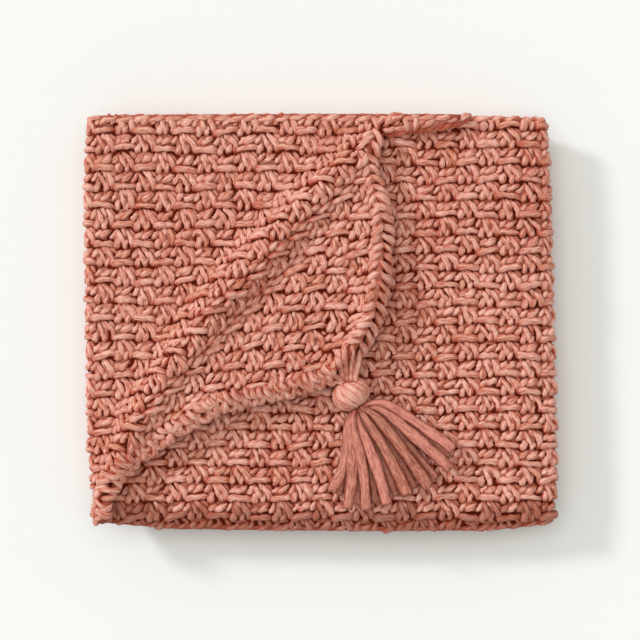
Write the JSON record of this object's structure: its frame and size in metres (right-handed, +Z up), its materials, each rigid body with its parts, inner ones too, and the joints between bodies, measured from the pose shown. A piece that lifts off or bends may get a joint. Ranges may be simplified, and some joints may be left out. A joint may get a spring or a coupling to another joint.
{
  "type": "folded chunky knit blanket with a tassel",
  "caption": "Chunky knit throw folded back and forth into a square packet, its top corner pushed back into a soft ridge and flap with a hanging yarn tassel.",
  "frame": {"origin": "on the surface that the packet lies on, under the middle of its outline", "axes": "+X along the packet's width, from its folded side to the side with the open top layer; +Y to the back edge; +Z up"},
  "size_m": [0.5828, 0.5178, 0.1169],
  "materials": {
    "yarn": "thick soft single-ply yarn in dusty coral, knitted in a raised two by two chequer of knit and purl",
    "tassel_yarn": "the same yarn in loose, slightly shiny strands with blunt cut ends"
  },
  "bodies": {
    "root": {"blanket": "yarn", "tassel": "tassel_yarn", "tassel_tie": "tassel_yarn"}
  },
  "joints": []
}
